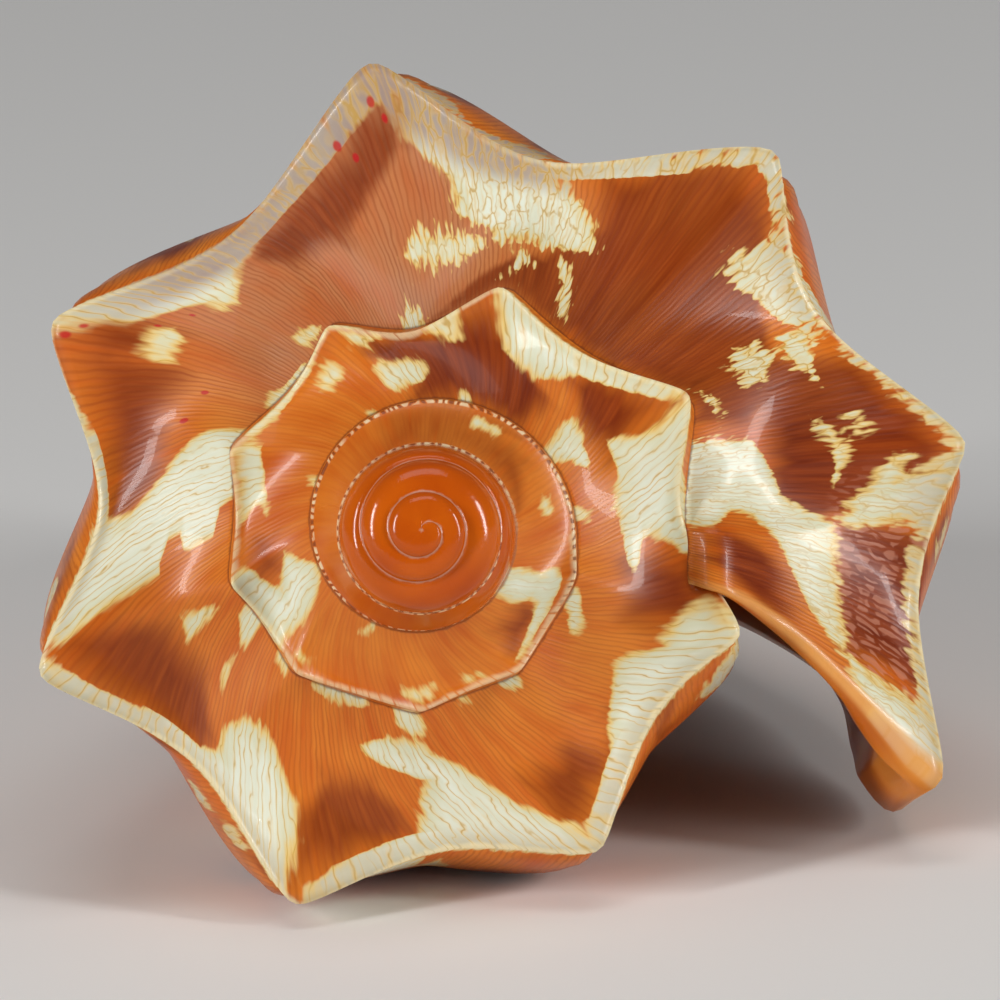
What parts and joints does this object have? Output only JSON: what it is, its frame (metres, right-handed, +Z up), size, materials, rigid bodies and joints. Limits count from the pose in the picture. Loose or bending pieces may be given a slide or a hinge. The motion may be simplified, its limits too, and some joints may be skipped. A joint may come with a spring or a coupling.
{
  "type": "princely volute shell",
  "caption": "Sea snail shell with a smooth button at the top of its spire, pointed shoulder spines, a long open mouth and a notched front end.",
  "frame": {"origin": "on the surface that the shell lies on, under the middle of its box", "axes": "+Z up from that surface; the shell lies on its mouth, with the spire towards -Y, the front notch towards +Y and the lip towards +X"},
  "size_m": [0.0732, 0.1086, 0.0642],
  "materials": {
    "shell": "glossy shell, orange and red-brown with cream blotches, netted with fine ochre lines"
  },
  "bodies": {
    "root": {"shell": "shell"}
  },
  "joints": []
}
